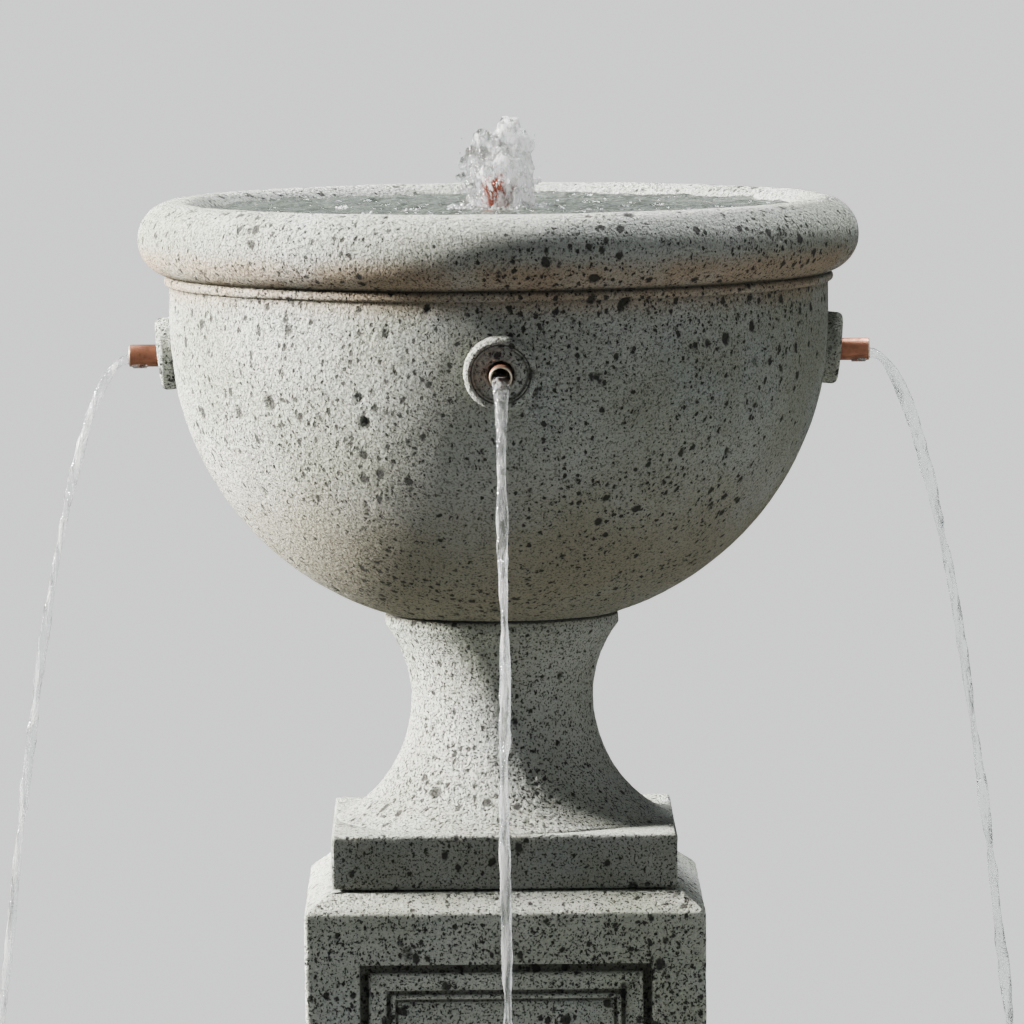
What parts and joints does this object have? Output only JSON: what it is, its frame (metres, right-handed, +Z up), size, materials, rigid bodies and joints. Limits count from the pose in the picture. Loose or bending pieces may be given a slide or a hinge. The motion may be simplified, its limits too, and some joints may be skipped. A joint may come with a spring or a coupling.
{
  "type": "garden fountain",
  "caption": "Round cast-stone bowl with copper side spouts and a centre jet, on a waisted foot and a square panelled pedestal standing in a round pool with its pump.",
  "frame": {"origin": "centre of the pool's underside, on the ground", "axes": "+Z up along the axis of the bowl and the jet, -Y to the front, +X to the right seen from the front"},
  "size_m": [1.003, 1.003, 1.1589],
  "materials": {
    "cast_stone": "pitted and weathered",
    "copper": "dull, browned copper",
    "rubber": "matt",
    "hose": "satin black vinyl",
    "brass": "machined",
    "chromed_brass": "polished",
    "seat_plastic": "matt white",
    "steel": "stainless",
    "lever_steel": "red dip coating",
    "pump_plastic": "moulded",
    "magnet": "sintered"
  },
  "bodies": {
    "fountain": {"pool": "cast_stone", "pedestal": "cast_stone", "plinth_pads": "rubber", "foot": "cast_stone", "bowl_gasket": "rubber", "bowl": "cast_stone", "rosette_front": "cast_stone", "spout_seal_front": "rubber", "spout_tube_front": "copper", "spout_elbow_front": "copper", "standpipe_front": "copper", "rosette_right": "cast_stone", "spout_seal_right": "rubber", "spout_tube_right": "copper", "spout_elbow_right": "copper", "standpipe_right": "copper", "rosette_back": "cast_stone", "spout_seal_back": "rubber", "spout_tube_back": "copper", "spout_elbow_back": "copper", "standpipe_back": "copper", "rosette_left": "cast_stone", "spout_seal_left": "rubber", "spout_tube_left": "copper", "spout_elbow_left": "copper", "standpipe_left": "copper", "bulkhead": "brass", "bulkhead_washer_upper": "rubber", "bulkhead_washer_lower": "rubber", "bulkhead_locknut": "brass", "nozzle_riser": "copper", "hose_barb": "brass", "hose_lower": "hose", "hose_upper": "hose", "hose_clamp_pump": "steel", "hose_clamp_valve_lower": "steel", "hose_clamp_valve_upper": "steel", "hose_clamp_bowl": "steel", "valve_body": "brass", "valve_cap": "brass", "valve_seats": "seat_plastic", "pump_housing": "pump_plastic", "pump_shaft": "steel", "pump_volute": "pump_plastic", "pump_strainer": "pump_plastic", "pump_feet": "rubber", "cable_gland": "rubber"},
    "pump_rotor": {"rotor_magnet": "magnet", "impeller": "pump_plastic"},
    "flow_control": {"flow_dial": "pump_plastic"},
    "valve_handle": {"valve_ball": "chromed_brass", "valve_stem": "brass", "valve_lever": "lever_steel", "valve_lever_nut": "steel"},
    "stopper": {"drain_stopper": "rubber"}
  },
  "joints": [
    {"name": "rotor_spin", "type": "hinge", "parent": "fountain", "child": "pump_rotor", "pos_m": [0, 0.005, 0.089], "axis": [0, -1, 0], "continuous": true},
    {"name": "flow_dial_turn", "type": "hinge", "parent": "fountain", "child": "flow_control", "pos_m": [0.0356, -0.012, 0.089], "axis": [1, 0, 0], "range_deg": [0, 180]},
    {"name": "valve_turn", "type": "hinge", "parent": "fountain", "child": "valve_handle", "pos_m": [0, 0, 0.38], "axis": [1, 0, 0], "range_deg": [0, 90]},
    {"name": "stopper_lift", "type": "slide", "parent": "fountain", "child": "stopper", "axis": [0, 0, 1], "range_m": [0, 0.05]}
  ]
}
